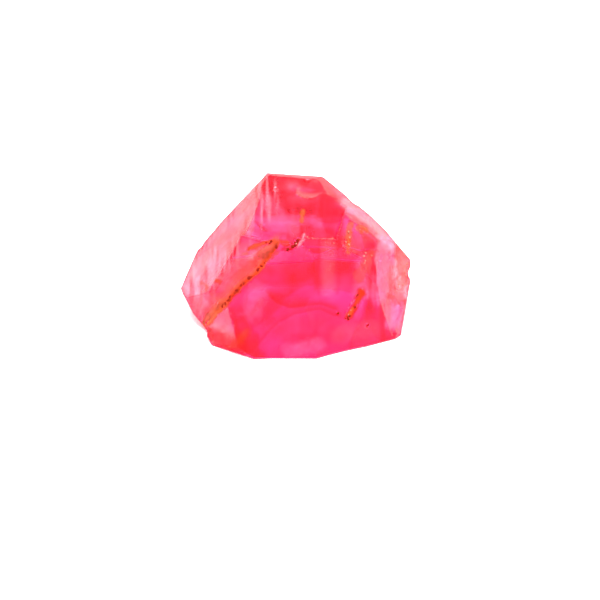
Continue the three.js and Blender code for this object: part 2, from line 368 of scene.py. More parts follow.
@dataclass
class Front:
    """The front of the finished stone, looked at along w, with its narrow cracks bridged."""

    places: Array
    faces: Array
    low: Spot = (-4.2, -0.4)
    high: Spot = (4.2, 6.6)
    step: float = 0.032
    bridge: int = 3
    above: float = 5.0
    missed: float = -9.0  # the height where there is no stone
    stride: float = 0.05

    def __post_init__(self) -> None:
        """Looks down on the stone from a grid of places."""
        tree = BVHTree.FromPolygons(self.places.tolist(), self.faces.tolist())
        self.xs = np.arange(self.low[0], self.high[0], self.step)
        self.ys = np.arange(self.low[1], self.high[1], self.step)
        top, down = self.above, Vector((0, 0, -1))
        hits = [[tree.ray_cast(Vector((x, y, top)), down)[0] for y in self.ys] for x in self.xs]
        self.there = np.array([[hit is not None for hit in row] for row in hits])
        raw = np.array([[self.missed if hit is None else hit.z for hit in row] for row in hits])
        self.heights = -self._widened(-self._widened(raw))

    def _widened(self, heights: Array) -> Array:
        """Spreads the high places of the grid.

        Args:
            heights: A value for each place.

        Returns:
            The highest value within the bridge's reach of each place.
        """
        for axis in (0, 1):
            moved = [np.roll(heights, k, axis) for k in range(-self.bridge, self.bridge + 1)]
            heights = np.max(moved, axis=0)
        return heights

    def height(self, x: float, y: float) -> float:
        """Reads how far out the front lies.

        Args:
            x: The place's distance to the right.
            y: Its distance up the face.

        Returns:
            The height, by the four grid places round it.
        """
        u, v = (x - self.low[0]) / self.step, (y - self.low[1]) / self.step
        i, j = int(u), int(v)
        s, t = u - i, v - j
        near = self.heights[i, j] * (1 - t) + self.heights[i, j + 1] * t
        far = self.heights[i + 1, j] * (1 - t) + self.heights[i + 1, j + 1] * t
        return float(near * (1 - s) + far * s)

    def path(self, spots: list[Spot], sink: float) -> list[Vector]:
        """Follows a line on the front, a little under its surface.

        Args:
            spots: The corners of the line.
            sink: How far under the surface the line runs.

        Returns:
            The places in the frame of the face.
        """
        line = spread_out(np.array(spots), self.stride)
        return [Vector((x, y, self.height(x, y) - sink)) for x, y in line]


@dataclass(frozen=True)
class Zone:
    """A soft patch of deeper colour, seen through the front of the stone."""

    at: Spot
    reach: Spot
    colour: Rgb
    turn: float = 0.0
    edge: float = 0.5

    def share(self, places: Array) -> Array:
        """Measures how strong the patch is.

        Args:
            places: The places to look at, in the frame of the face.

        Returns:
            A number from 0 to 1 for each place.
        """
        c, s = math.cos(math.radians(self.turn)), math.sin(math.radians(self.turn))
        x, y = places[:, 0] - self.at[0], places[:, 1] - self.at[1]
        far = np.hypot((c * x + s * y) / self.reach[0], (c * y - s * x) / self.reach[1])
        return 1 - soft_step(1 - self.edge, 1 + self.edge, far)


@dataclass(frozen=True)
class EdgeShade:
    """A fine darker line painted along an edge of the front, seen through it: painted shade where
    the edge bends light.
    """

    spine: list[Spot]
    colour: Rgb
    above: float
    below: float

    def share(self, places: Array) -> Array:
        """How strong the line is at each place, from 0 to 1, with its own reach to each side."""
        far, left = side_of(places, self.spine)
        return 1 - soft_step(0.0, 1.0, far / np.where(left, self.above, self.below))


ZONES = (
    Zone((0.1, 2.8), (0.75, 1.05), (1, 0.35, 0.5)),
    Zone((0.68, 3.1), (0.12, 0.6), (1, 0.35, 0.5), turn=-6),
    Zone((1.25, 5.0), (0.42, 0.95), (1, 0.08, 0.2), turn=8, edge=0.2),
    Zone((0.6, 5.78), (0.65, 0.5), (1, 0.25, 0.3)),
    Zone((-0.5, 5.9), (0.75, 0.5), (1, 0.8, 0.8)),
    Zone((-2.3, 0.6), (0.85, 0.5), (1, 0.1, 0.06), turn=-20),
    Zone((-2.6, 4.3), (1.7, 0.75), (1, 0.65, 0.85), turn=50),
    Zone((-3.5, 2.4), (0.8, 0.8), (1, 0.7, 0.8)),
    Zone((0.4, 1.3), (1.5, 0.8), (1, 0.7, 0.5)),
    Zone((2.1, 0.9), (0.9, 0.5), (1, 0.8, 0.6), turn=10),
    Zone((3.02, 1.9), (0.14, 1.2), (0.75, 0.3, 0.3), turn=-6),
)
# Painted shade: darker lines along the front's edges, such as the rim of a scoop and the edges of
# facets.
EDGE_SHADES = (
    EdgeShade(
        [(-0.95, 2.25), (-0.67, 1.98), (-0.21, 1.8), (0.3, 1.86), (0.83, 1.92), (1.3, 1.75)],
        (1, 0.12, 0.2), 0.28, 0.07,
    ),
    EdgeShade(
        [(-1.5, 0.3), (-1.14, 0.71), (-0.62, 1.29), (-0.04, 1.58), (0.83, 1.72), (1.35, 1.5)],
        (1, 0.25, 0.35), 0.3, 0.06,
    ),
    EdgeShade([(0.77, 2.25), (0.72, 3.0), (0.8, 4.05)], (1, 0.45, 0.5), 0.07, 0.1),
    EdgeShade([(1.45, 2.3), (1.5, 3.2), (1.42, 4.0)], (1, 0.5, 0.55), 0.12, 0.06),
    EdgeShade([(-2.15, 1.6), (-1.95, 0.9), (-1.75, 0.4)], (1, 0.35, 0.35), 0.1, 0.25),
    EdgeShade([(-1.1, 4.75), (-0.85, 4.35), (-0.3, 4.3)], (1, 0.45, 0.5), 0.12, 0.08),
    EdgeShade([(-1.42, 4.72), (-1.15, 4.5), (-1.0, 4.4)], (1, 0.12, 0.2), 0.09, 0.06),
    EdgeShade([(-1.95, 4.26), (-1.4, 4.12), (-0.9, 3.98)], (1, 0.1, 0.12), 0.11, 0.11),
)


@dataclass(frozen=True)
class Tint:
    """The colour of the surface: clear but for zones, painted edge shade, clouds, painted shade on
    the ridges and a mottle.
    """

    front: Span = (0.1, 0.4)
    drift_length: float = 0.7
    drift_seeds: tuple[int, int, int] = (11, 12, 13)
    zone_wander: float = 0.12
    line_wander: float = 0.03
    cloud: Rgb = (0.0, 0.6, 0.25)
    cloud_length: float = 0.8
    cloud_seed: int = 17
    cloud_edge: Span = (-0.1, 0.5)
    # painted shade on the ridges: a darker colour where their rounded edges would refract bright
    # lines
    ridge_shade: Rgb = (0.0, 0.85, 0.6)
    spared: float = 0.6  # the share of the painted ridge shade that the front is spared
    mottle: Rgb = (0.0, 0.3, 0.24)
    mottle_length: float = 0.22
    mottle_seed: int = 14
    streaks: float = 0.6
    streak_lines: Triple = (7.0, 0.9, 0.9)
    streak_seed: int = 15

    def at(self, places: Array, way: Array, ridges: Array) -> Array:
        """Mixes the colour at each corner.

        Args:
            places: The corners in the frame of the face.
            way: The way out at each, in that frame.
            ridges: How near each is to a ridge, from 0 to 1.

        Returns:
            One colour for each corner.
        """
        colour = np.ones((len(places), 3))
        front = soft_step(*self.front, way[:, 2])
        near = places / self.drift_length
        drift = np.stack([Noise(seed).rough(near, 2) for seed in self.drift_seeds], axis=1)
        # The zones deepen the colour, and the edge shades paint shade along the front's edges.
        for wander, shapes in ((self.zone_wander, ZONES), (self.line_wander, EDGE_SHADES)):
            for shape in shapes:
                share = (shape.share(places + wander * drift) * front)[:, None]
                colour *= 1 - share * (1 - np.array(shape.colour))
        lumps = Noise(self.cloud_seed).rough(places / self.cloud_length, 3)
        cloud = soft_step(*self.cloud_edge, lumps) * (1 - front)
        colour *= 1 - cloud[:, None] * self.cloud
        # Painted shade: the ridges are darkened, most of all on the far side, so their rounded
        # edges show no bright lines.
        ridge_shade = ridges * (1 - self.spared * front)
        colour *= 1 - ridge_shade[:, None] * self.ridge_shade
        grain = Noise(self.mottle_seed).rough(places / self.mottle_length, 3)
        lines = Noise(self.streak_seed).rough(places * self.streak_lines, 2)
        grain = grain + self.streaks * lines
        colour *= 1 - np.clip(0.5 + 0.5 * grain, 0, 1)[:, None] * self.mottle
        return colour


@dataclass(frozen=True)
class Frost:
    """How matt the surface is, from 0 for polished to 1."""

    polished: float = 0.08
    silky: float = 0.17  # what the left flank adds
    front: Span = (0.3, 0.45)
    far: float = 0.4
    far_range: Span = (0.16, 0.65)
    drift: float = 0.24
    drift_length: float = 0.9
    drift_seed: int = 16
    belt: float = 0.25  # what a band round the far side adds
    belt_height: float = 1.42
    belt_edge: Span = (0.1, 0.4)
    corner: float = 0.4
    corner_right: Span = (3.2, 3.6)
    corner_up: Span = (2.0, 2.5)
    base: float = 0.98  # how nearly the stone's base points down

    def at(self, places: Array, way: Array, ridges: Array) -> Array:
        """Works out how matt each corner is.

        Args:
            places: The corners in the frame of the face.
            way: The way out at each, in that frame.
            ridges: How near each is to a ridge, from 0 to 1.

        Returns:
            One number for each corner.
        """
        front = soft_step(*self.front, way[:, 2])
        off_belt = np.abs(FACE.height(places) - self.belt_height)
        belt = 1 - soft_step(*self.belt_edge, off_belt)
        drift = Noise(self.drift_seed).rough(places / self.drift_length, 3)
        far = np.clip(self.far + self.drift * drift + self.belt * belt, *self.far_range)
        far = np.maximum(far, self.far_range[1] * ridges)
        level = front * (self.polished + self.silky * left_flank(way)) + (1 - front) * far
        right = soft_step(*self.corner_right, places[:, 0])
        up = soft_step(*self.corner_up, places[:, 1])
        level = np.maximum(level, self.corner * (right * up))
        return np.where(-FACE.height(way) > self.base, self.polished, level)


def blank(name: str) -> tuple[Material, Nodes, Links, bpy.types.Node]:
    """Starts a material.

    Args:
        name: The material's name.

    Returns:
        The material, its nodes, its links and its main shader.
    """
    made = bpy.data.materials.new(name)
    made.use_nodes = True
    nodes, links = made.node_tree.nodes, made.node_tree.links
    return made, nodes, links, nodes["Principled BSDF"]


def feed(nodes: Nodes, links: Links, name: str, out: str, socket: Socket) -> None:
    """Feeds a socket with what the corners of the mesh hold under a name.

    Args:
        nodes: The nodes of the material.
        links: Its links.
        name: The name that the mesh gives it.
        out: "Fac" for a number or "Color" for a colour.
        socket: The socket that takes it.
    """
    read = nodes.new("ShaderNodeAttribute")
    read.attribute_name = name
    links.new(read.outputs[out], socket)


@dataclass(frozen=True)
class SpinelGlass:
    """Clear pink spinel: its colour is in the depth of the stone, not on its surface."""

    ior: float = 1.718
    through: Rgb = (0.985, 0.03, 0.54)
    density: float = 700.0
    silk_height: float = 0.0016 * MM
    silk_lines: Triple = (9.0, 0.5, 2.0)
    silk_detail: float = 2.0

    def silk(self, nodes: Nodes, links: Links) -> Socket:
        """Draws the fine lines that run up the left flank.

        Args:
            nodes: The nodes of the material.
            links: Its links.

        Returns:
            The normal that shows them.
        """
        place = nodes.new("ShaderNodeTexCoord")
        lie = nodes.new("ShaderNodeMapping")
        lie.inputs["Rotation"].default_value = (FACE.lean - math.pi / 2, 0, 0)
        stretch = nodes.new("ShaderNodeVectorMath")
        stretch.operation = "MULTIPLY"
        stretch.inputs[1].default_value = tuple(count / MM for count in self.silk_lines)
        lines = nodes.new("ShaderNodeTexNoise")
        lines.inputs["Scale"].default_value = 1.0
        lines.inputs["Detail"].default_value = self.silk_detail
        height = nodes.new("ShaderNodeMath")
        height.operation = "MULTIPLY"
        bump = nodes.new("ShaderNodeBump")
        bump.inputs["Distance"].default_value = self.silk_height
        links.new(place.outputs["Object"], lie.inputs["Vector"])
        links.new(lie.outputs["Vector"], stretch.inputs[0])
        links.new(stretch.outputs["Vector"], lines.inputs["Vector"])
        links.new(lines.outputs["Fac"], height.inputs[0])
        feed(nodes, links, "silk", "Fac", height.inputs[1])
        links.new(height.outputs["Value"], bump.inputs["Height"])
        return bump.outputs["Normal"]

    def material(self) -> Material:
        """Builds the material.

        Returns:
            The material, which reads its frost, tint and silk from the stone.
        """
        made, nodes, links, shader = blank("spinel_glass")
        shader.inputs["Metallic"].default_value = 0.0
        shader.inputs["IOR"].default_value = self.ior
        shader.inputs["Transmission Weight"].default_value = 1.0
        feed(nodes, links, "frost", "Fac", shader.inputs["Roughness"])
        feed(nodes, links, "tint", "Color", shader.inputs["Base Color"])
        links.new(self.silk(nodes, links), shader.inputs["Normal"])
        depth = nodes.new("ShaderNodeVolumeAbsorption")
        depth.inputs["Color"].default_value = (*self.through, 1)
        depth.inputs["Density"].default_value = self.density
        links.new(depth.outputs["Volume"], nodes["Material Output"].inputs["Volume"])
        return made


@dataclass(frozen=True)
class Dull:
    """A dull finish in one colour, or else in the shades and with the cover that its mesh holds."""

    name: str
    roughness: float
    colour: Rgb | None = None
    specular: float = 0.05

    def material(self) -> Material:
        """Builds the material.

        Returns:
            The material.
        """
        made, nodes, links, shader = blank(self.name)
        shader.inputs["Roughness"].default_value = self.roughness
        shader.inputs["Specular IOR Level"].default_value = self.specular
        if self.colour:
            shader.inputs["Base Color"].default_value = (*self.colour, 1)
        else:
            feed(nodes, links, "shade", "Color", shader.inputs["Base Color"])
            feed(nodes, links, "cover", "Fac", shader.inputs["Alpha"])
        return made


RUST_FILM = Dull("rust_film", 0.6)
SILK_VEIL = Dull("silk_veil", 0.4)
IRON_GRAIN = Dull("iron_grain", 0.8, (0.15, 0.009, 0.005))
PALE_CHIP = Dull("pale_chip", 0.5, (0.36, 0.2, 0.15))


@dataclass
class Crystal:
    """The stone's clear body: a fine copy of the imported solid."""

    node: str = "crystal"
    join: float = 2e-4
    cell: float = 0.045
    octree: int = 8
    facet_turn: float = math.radians(5.0)
    rounds: int = 12
    moves: int = 10
    ridge_bend: Span = (0.01, 0.05)
    swell: float = 0.008
    swell_length: float = 1.3
    swell_seed: int = 3
    swell_top: float = 1.5  # the most that two octaves reach, so that swells only go in
    base: Span = (-0.98, -0.9)
    silk_front: Span = (0.1, 0.3)

    def merged(self) -> Mesh:
        """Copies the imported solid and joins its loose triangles.

        Returns:
            The copy, in millimetres.
        """
        copy = bmesh.new()
        copy.from_mesh(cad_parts[self.node].data)
        bmesh.ops.scale(copy, vec=(1 / MM, 1 / MM, 1 / MM), verts=copy.verts)
        bmesh.ops.remove_doubles(copy, verts=copy.verts, dist=self.join)
        mesh = bpy.data.meshes.new("stone_solid")
        copy.to_mesh(mesh)
        copy.free()
        return mesh

    def fine(self) -> Relief:
        """Cuts the solid into small even faces and keeps its ridges.

        Returns:
            The fine stone.
        """
        solid = placed("stone_solid", self.merged())
        remesh = solid.modifiers.new("fine", "REMESH")
        remesh.mode = "SHARP"
        remesh.octree_depth = self.octree
        remesh.scale = max(solid.dimensions) / (self.cell * 2**self.octree)
        remesh.sharpness = 1.0
        remesh.use_remove_disconnected = True
        seen = solid.evaluated_get(bpy.context.evaluated_depsgraph_get())
        mesh = bpy.data.meshes.new_from_object(seen)
        bpy.data.objects.remove(solid)
        return Relief(mesh)

    def waves(self, relief: Relief) -> None:
        """Gives the broken faces their low swells. The face that the stone lies on stays flat.

        Args:
            relief: The stone.
        """
        way = relief.normals()
        lift = Noise(self.swell_seed).rough(relief.corners / self.swell_length, 2)
        swell = self.swell * (lift - self.swell_top) * soft_step(*self.base, way[:, 2])
        relief.corners += way * swell[:, None]
        relief.corners = np.clip(relief.corners, *(np.array(corner) / MM for corner in CAD_BOX))

    def build(self) -> Front:
        """Makes the stone, and finds its front for what lies on it.

        Returns:
            The front of the finished stone.
        """
        relief = self.fine()
        relief.even_out(self.facet_turn, self.rounds, self.moves)
        self.waves(relief)
        mesh = relief.write("stone")
        places = FACE.from_row(relief.corners)
        way = relief.normals() @ np.array(FACE.axes())
        ridges = relief.ridges(self.ridge_bend)
        set_floats(mesh, "frost", Frost().at(places, way, ridges))
        set_floats(mesh, "silk", left_flank(way) * soft_step(*self.silk_front, way[:, 2]))
        set_colours(mesh, "tint", Tint().at(places, way, ridges))
        set_down("stone", mesh, SpinelGlass().material())
        return Front(places, relief.faces)


@dataclass(frozen=True)
class Stain:
    """A soft-edged patch on the front that follows a line, with a width to each side of it."""

    spine: list[Spot]
    left: float
    right: float
    cover: float
    colour: Rgb
    broken: float
    streaks: float = 0.0

    def strength(self, places: Array) -> Array:
        """How far into the patch each place lies: 1 on the line and 0 at the edge."""
        far, left = side_of(places, self.spine)
        return 1 - far / np.where(left, self.left, self.right)


@dataclass
class Sheet:
    """Patches of one kind, as a thin sheet that hugs the front."""

    name: str
    stains: list[Stain]
    finish: Dull
    slot: Slot
    gap: float
    seed: int
    fine_length: float = 0.14
    broad_length: float = 0.5
    streak_lines: Triple = (11.0, 0.8, 0.8)
    bend: float = 0.05
    breaks: Span = (0.45, 0.35)  # by the fine and the broad noise
    full: Span = (0.0, 0.75)
    rim: Span = (-0.25, 0.1)
    tone: float = 0.95
    tone_drift: Span = (0.35, 0.2)  # likewise, how much darker it gets
    tone_range: Span = (0.4, 1.3)
    faintest: float = 0.004
    steepest: float = 0.2

    def painted(self, places: Array) -> tuple[Array, Array]:
        """Lays the patches over each other.

        Args:
            places: The places of the sheet, in the frame of the face.

        Returns:
            How much the sheet covers at each place, and its colour there.
        """
        fine = Noise(self.seed).rough(places / self.fine_length, 3)
        broad = Noise(self.seed + 1).rough(places / self.broad_length, 2)
        streak = Noise(self.seed + 2).rough(places * self.streak_lines, 2)
        bent = places + self.bend * np.stack([broad, fine, 0 * fine], axis=1)
        clear = np.ones(len(places))
        colour = np.zeros((len(places), 3))
        total = np.full(len(places), FAINT)
        breaks = self.breaks[0] * fine + self.breaks[1] * broad
        for stain in self.stains:
            deep = stain.strength(bent)
            patchy = stain.broken * breaks + stain.streaks * streak
            level = stain.cover * soft_step(*self.full, deep + patchy) * soft_step(*self.rim, deep)
            colour += np.array(stain.colour) * level[:, None]
            total += level
            clear *= 1 - level
        shade = self.tone - self.tone_drift[0] * fine - self.tone_drift[1] * broad
        shade = np.clip(shade, *self.tone_range)[:, None]
        return 1 - clear, np.clip(colour / total[:, None] * shade, 0, 1)

    def build(self, front: Front) -> None:
        """Makes the sheet where a patch covers anything and the front isn't too steep.

        Args:
            front: The front of the stone.
        """
        rows, columns = front.heights.shape
        flat = np.stack(np.meshgrid(front.xs, front.ys, indexing="ij"), axis=-1).reshape(-1, 2)
        places = np.column_stack([flat, front.heights.ravel() + self.gap])
        cover, colour = self.painted(places)
        i, j = np.meshgrid(np.arange(rows - 1), np.arange(columns - 1), indexing="ij")
        first = (i * columns + j).ravel()
        quads = np.stack([first, first + columns, first + columns + 1, first + 1], axis=1)
        seen = cover[quads].max(axis=1) > self.faintest
        quads = quads[front.there.ravel()[quads].all(axis=1) & seen]
        quads = quads[np.ptp(places[quads][:, :, 2], axis=1) < self.steepest]
        used, faces = np.unique(quads, return_inverse=True)
        mesh = bpy.data.meshes.new(self.name)
        mesh.from_pydata(places[used].tolist(), [], faces.reshape(-1, 4).tolist())
        set_floats(mesh, "cover", cover[used])
        set_colours(mesh, "shade", colour[used])
        mesh.shade_smooth()
        mesh.transform(FACE.matrix())
        set_down(self.name, mesh, self.finish.material())


@dataclass(frozen=True)
class Seam:
    """A row of grains along a line on the front."""

    line: list[Spot]
    spacing: float
    size: float
    scatter: float
    seed: int
    sink: float


@dataclass
class GrainTree:
    """A node tree that drops broken grains along a line."""

    name: str
    jitter: Span = (-1.0, 1.0)
    turns: Span = (0.0, 6.2)
    thickness: Span = (0.45, 1.0)
    growth: Span = (0.55, 1.0)

    def __post_init__(self) -> None:
        """Builds the tree."""
        self.tree = bpy.data.node_groups.new(self.name, "GeometryNodeTree")
        self.inputs: dict[str, str] = {}
        self._socket("Line", "INPUT", "Geometry")
        for title in ("Spacing", "Size", "Scatter"):
            self._socket(title, "INPUT", "Float")
        self._socket("Seed", "INPUT", "Int")
        self._socket("Finish", "INPUT", "Material")
        self._socket("Grains", "OUTPUT", "Geometry")
        self._wire()

    def _socket(self, title: str, way: str, kind: str) -> None:
        """Adds a socket to the tree's interface and remembers it."""
        made = self.tree.interface.new_socket(title, in_out=way, socket_type=f"NodeSocket{kind}")
        self.inputs[title] = made.identifier

    def _random(self, reach: Span, seed: Socket, kind: Drawn) -> Socket:
        """Draws for each grain, the same each time.

        Args:
            reach: The lowest and the highest number.
            seed: The socket that the seed comes from.
            kind: What is drawn.

        Returns:
            The socket that gives it.
        """
        node = self.tree.nodes.new("FunctionNodeRandomValue")
        node.data_type = kind.value
        three = kind is Drawn.THREE
        for place, value in enumerate(reach, 0 if three else 2):
            node.inputs[place].default_value = (value,) * 3 if three else value
        self.tree.links.new(seed, node.inputs["Seed"])
        return node.outputs[0 if three else 1]

    def _scaled(self, values: Socket, factor: Socket) -> Socket:
        """Multiplies three numbers by one.

        Args:
            values: The socket of the three.
            factor: The socket of the one.

        Returns:
            The socket that gives the product.
        """
        node = self.tree.nodes.new("ShaderNodeVectorMath")
        node.operation = "SCALE"
        self.tree.links.new(values, node.inputs[0])
        self.tree.links.new(factor, node.inputs["Scale"])
        return node.outputs["Vector"]

    def _wire(self) -> None:
        """Joins the nodes: line, points, jitter, grains, one mesh."""
        new, link = self.tree.nodes.new, self.tree.links.new
        given = new("NodeGroupInput").outputs
        seed = given["Seed"]
        curve = new("GeometryNodeMeshToCurve")
        points = new("GeometryNodeCurveToPoints")
        points.mode = "LENGTH"
        moved = new("GeometryNodeSetPosition")
        grain = new("GeometryNodeMeshIcoSphere")
        grain.inputs["Radius"].default_value = 1.0
        grain.inputs["Subdivisions"].default_value = 1
        drop = new("GeometryNodeInstanceOnPoints")
        whole = new("GeometryNodeRealizeInstances")
        finish = new("GeometryNodeSetMaterial")
        out = new("NodeGroupOutput")
        link(given["Line"], curve.inputs["Mesh"])
        link(curve.outputs["Curve"], points.inputs["Curve"])
        link(given["Spacing"], points.inputs["Length"])
        link(points.outputs["Points"], moved.inputs["Geometry"])
        away = self._scaled(self._random(self.jitter, seed, Drawn.THREE), given["Scatter"])
        link(away, moved.inputs["Offset"])
        link(moved.outputs["Geometry"], drop.inputs["Points"])
        link(grain.outputs["Mesh"], drop.inputs["Instance"])
        link(self._random(self.turns, seed, Drawn.THREE), drop.inputs["Rotation"])
        thick = self._scaled(self._random(self.thickness, seed, Drawn.THREE), given["Size"])
        big = self._scaled(thick, self._random(self.growth, seed, Drawn.ONE))
        link(big, drop.inputs["Scale"])
        link(drop.outputs["Instances"], whole.inputs["Geometry"])
        link(whole.outputs["Geometry"], finish.inputs["Geometry"])
        link(given["Finish"], finish.inputs["Material"])
        link(finish.outputs["Geometry"], out.inputs["Grains"])

    def grains(self, line: list[Vector], seam: Seam, finish: Material) -> Mesh:
        """Drops the grains of one seam.

        Args:
            line: The places that the seam runs through.
            seam: Its sizes.
            finish: Its material.

        Returns:
            The grains as one mesh.
        """
        thread = bpy.data.meshes.new("seam")
        thread.from_pydata(line, [(i, i + 1) for i in range(len(line) - 1)], [])
        carrier = placed("seam", thread)
        modifier = carrier.modifiers.new("grains", "NODES")
        modifier.node_group = self.tree
        values = (seam.spacing, seam.size, seam.scatter, seam.seed, finish)
        for title, value in zip(("Spacing", "Size", "Scatter", "Seed", "Finish"), values):
            modifier[self.inputs[title]] = value
        seen = carrier.evaluated_get(bpy.context.evaluated_depsgraph_get())
        mesh = bpy.data.meshes.new_from_object(seen)
        carrier.modifiers.remove(modifier)
        bpy.data.objects.remove(carrier)
        return mesh


@dataclass
class Grains:
    """Grains of one kind, all over the front."""

    name: str
    seams: list[Seam]
    finish: Dull
    slot: Slot

    def build(self, tree: GrainTree, front: Front) -> None:
        """Drops the grains of every seam and joins them in one piece.

        Args:
            tree: The node tree that drops them.
            front: The front of the stone.
        """
        finish = self.finish.material()
        whole = bmesh.new()
        for seam in self.seams:
            whole.from_mesh(tree.grains(front.path(seam.line, seam.sink), seam, finish))
        mesh = bpy.data.meshes.new(self.name)
        whole.to_mesh(mesh)
        whole.free()
        mesh.transform(FACE.matrix())
        set_down(self.name, mesh, finish)


def mirrored(nodes: Nodes, links: Links) -> Socket:
    """Tells what is only seen mirrored in a surface from all else.

    Args:
        nodes: The nodes to add to.
        links: Their links.

    Returns:
        The socket that gives 1 where it is mirrored, else 0.
    """
    ray = nodes.new("ShaderNodeLightPath")
    both = nodes.new("ShaderNodeMath")
    both.operation = "MULTIPLY"
    links.new(ray.outputs["Is Glossy Ray"], both.inputs[0])
    links.new(ray.outputs["Is Reflection Ray"], both.inputs[1])
    return both.outputs["Value"]


@dataclass
class Studio:
    """A white table under soft white light, with a camera at the photograph's angle."""

    floor_radius: float = 0.5
    floor_sides: int = 96
    floor_gap: float = 0.02 * MM
    paper: Rgb = (0.88, 0.88, 0.87)
    paper_roughness: float = 0.9
    mirrored_paper: float = 0.3
    brightness: float = 3.2
    mirrored_sky: float = 1.4
    dimmed: Span = (0.0, 0.6)
    canopy: Rgb = (0.6, 0.12, 0.15)
    canopy_height: float = math.radians(60)
    canopy_edge: Span = (math.radians(44), math.radians(76))
    box_height: float = 0.4
    box_side: float = 0.3
    box_power: float = 4.0
    lens: float = 180.0
    sensor: float = 36.0
    clip: Span = (1 * MM, 10.0)
    aim: Vector = field(default_factory=lambda: Vector((0.1441, -0.1422, 0.5604)))
    distance: float = 104.35
    bounces: int = 24

    def floor(self) -> None:
        """The table, a hair under the stone."""
        disc = bmesh.new()
        bmesh.ops.create_circle(
            disc, cap_ends=True, segments=self.floor_sides, radius=self.floor_radius
        )
        bmesh.ops.translate(disc, vec=(0, 0, -self.floor_gap), verts=disc.verts)
        mesh = bpy.data.meshes.new("floor")
        disc.to_mesh(mesh)
        disc.free()
        table = placed("floor", mesh)
        paper, nodes, links, shader = blank("paper")
        shader.inputs["Roughness"].default_value = self.paper_roughness
        tone = nodes.new("ShaderNodeMix")
        tone.data_type = "RGBA"
        tone.inputs["A"].default_value = (*self.paper, 1)
        tone.inputs["B"].default_value = (*(self.mirrored_paper * c for c in self.paper), 1)
        links.new(mirrored(nodes, links), tone.inputs["Factor"])
        links.new(tone.outputs["Result"], shader.inputs["Base Color"])
        mesh.materials.append(paper)

    def sky(self) -> bpy.types.World:
        """Makes even white light from all round, under a rose canopy.

        Returns:
            The sky, which is dimmer where it is seen mirrored in the stone.
        """
        world = bpy.data.worlds.new("studio")
        world.use_nodes = True
        nodes, links = world.node_tree.nodes, world.node_tree.links
        back = nodes["Background"]
        place = nodes.new("ShaderNodeTexCoord")
        turn = nodes.new("ShaderNodeVectorMath")
        turn.operation = "DOT_PRODUCT"
        height = self.canopy_height
        turn.inputs[1].default_value = (0, -math.cos(height), math.sin(height))
        links.new(place.outputs["Generated"], turn.inputs[0])
        near, far = (math.cos(angle) for angle in self.canopy_edge)
        shade, dimmer = (nodes.new("ShaderNodeMapRange") for _ in range(2))
        shade.interpolation_type = "SMOOTHSTEP"
        dimmed = (*self.dimmed, self.mirrored_sky, self.brightness)
        for node, spans in ((shade, (far, near, 1.0, 0.0)), (dimmer, dimmed)):
            links.new(turn.outputs["Value"], node.inputs["Value"])
            for name, value in zip(("From Min", "From Max", "To Min", "To Max"), spans):
                node.inputs[name].default_value = value
        tint = nodes.new("ShaderNodeMix")
        tint.data_type = "RGBA"
        tint.inputs["A"].default_value = (*self.canopy, 1)
        tint.inputs["B"].default_value = (1, 1, 1, 1)
        links.new(shade.outputs["Result"], tint.inputs["Factor"])
        links.new(tint.outputs["Result"], back.inputs["Color"])
        power = nodes.new("ShaderNodeMix")
        power.inputs["A"].default_value = self.brightness
        links.new(mirrored(nodes, links), power.inputs["Factor"])
        links.new(dimmer.outputs["Result"], power.inputs["B"])
        links.new(power.outputs["Result"], back.inputs["Strength"])
        return world

    def light(self) -> None:
        """The sky and a softbox over the stone."""
        bpy.context.scene.world = self.sky()
        data = bpy.data.lights.new("softbox", "AREA")
        data.size = self.box_side
        data.energy = self.box_power
        softbox = placed("softbox", data)
        softbox.location = (0, 0, self.box_height)
        softbox.visible_glossy = False
        softbox.visible_transmission = False

    def camera(self) -> None:
        """The camera, which looks straight at the main face."""
        data = bpy.data.cameras.new("camera")
        data.lens = self.lens
        data.sensor_width = self.sensor
        data.clip_start, data.clip_end = self.clip
        camera = placed("camera", data)
        out = FACE.axes() @ Vector((0, 0, 1))
        camera.location = (self.aim + out * self.distance) * MM
        camera.rotation_euler = out.to_track_quat("Z", "Y").to_euler()
        bpy.context.scene.camera = camera

    def build(self) -> None:
        """Sets the stage."""
        self.floor()
        self.light()
        self.camera()
        scene = bpy.context.scene
        scene.view_settings.view_transform = "Standard"
        scene.cycles.max_bounces = self.bounces
        scene.cycles.transmission_bounces = self.bounces
        scene.cycles.transparent_max_bounces = self.bounces


